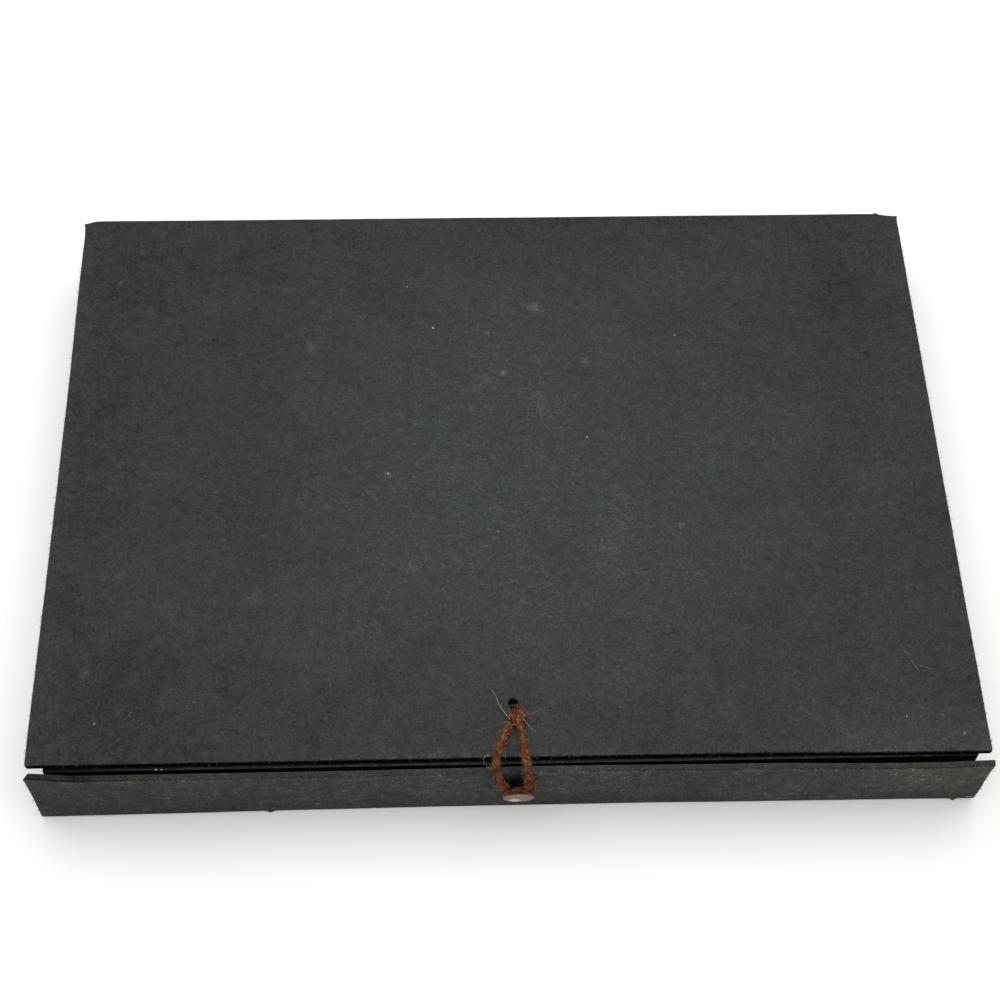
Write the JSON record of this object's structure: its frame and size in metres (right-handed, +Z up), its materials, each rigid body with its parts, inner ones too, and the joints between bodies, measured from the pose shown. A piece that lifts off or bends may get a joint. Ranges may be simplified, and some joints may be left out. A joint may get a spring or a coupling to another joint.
{
  "type": "stationery box",
  "caption": "Flat black paper-covered box for papers: hinged lid, fixed spine, drop-down front flap and inner tray, closed by a twine loop hooked on a button.",
  "frame": {"origin": "middle of the base's underside, where the closed box stands on the table", "axes": "+X along the box's length to the right, +Y from the front flap to the spine, +Z up"},
  "size_m": [0.244, 0.1842, 0.029],
  "materials": {
    "cover_paper": "matte",
    "lining_paper": "matte",
    "greyboard": "matte",
    "twine": "matte",
    "button_wood": "satin",
    "post_wood": "matte"
  },
  "bodies": {
    "case": {"base_board": "greyboard", "spine_board": "greyboard", "base_cover": "cover_paper", "spine_cover": "cover_paper", "lid_hinge_paper": "cover_paper", "flap_hinge_paper": "cover_paper", "tray_floor": "greyboard", "tray_front_wall": "greyboard", "tray_back_wall": "greyboard", "tray_left_wall": "greyboard", "tray_right_wall": "greyboard", "tray_wrap": "cover_paper", "tray_lining": "lining_paper"},
    "lid": {"lid_board": "greyboard", "lid_cover": "cover_paper", "lid_lining": "lining_paper", "twine_stem": "twine", "twine_stopper": "twine"},
    "flap": {"flap_board": "greyboard", "flap_cover": "cover_paper", "flap_lining": "lining_paper", "button_head": "button_wood", "button_post": "post_wood", "button_washer": "button_wood"},
    "loop": {"twine_loop": "twine", "twine_knot": "twine"}
  },
  "joints": [
    {"name": "lid_hinge", "type": "hinge", "parent": "case", "child": "lid", "pos_m": [0, 0.0874, 0.0244], "axis": [-1, 0, 0], "range_deg": [0, 187], "deforming": ["lid_hinge_paper"]},
    {"name": "flap_hinge", "type": "hinge", "parent": "case", "child": "flap", "pos_m": [0, -0.09035, 0.0006], "axis": [1, 0, 0], "range_deg": [0, 70], "deforming": ["flap_hinge_paper"]},
    {"name": "loop_swing", "type": "hinge", "parent": "lid", "child": "loop", "pos_m": [0.0009, -0.0729, 0.0262], "axis": [-1, 0, 0], "range_deg": [0, 150], "deforming": ["twine_loop"]}
  ]
}
